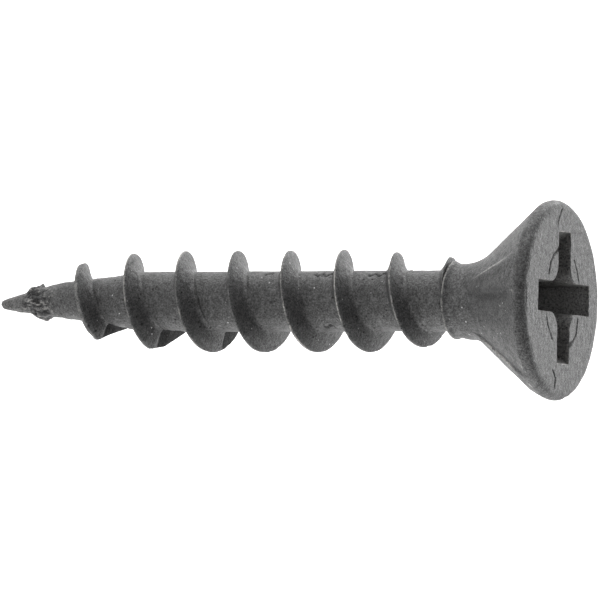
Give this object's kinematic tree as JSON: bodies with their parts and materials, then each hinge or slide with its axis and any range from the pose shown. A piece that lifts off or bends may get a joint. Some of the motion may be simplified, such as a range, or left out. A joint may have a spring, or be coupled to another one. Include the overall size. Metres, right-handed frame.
{
  "type": "wood screw",
  "caption": "Countersunk wood screw with a cross recess, a smooth neck, a deep coarse right-hand thread and a fluted cutting point.",
  "frame": {"origin": "centre of the flat face of the head, on the screw's axis", "axes": "+Z out of the head's face along the screw's axis, so the point is at -Z; +X and +Y run along the wings of the cross recess"},
  "size_m": [0.006, 0.006, 0.0191],
  "materials": {
    "black_phosphate_steel": "matte"
  },
  "bodies": {
    "root": {"screw": "black_phosphate_steel"}
  },
  "joints": []
}
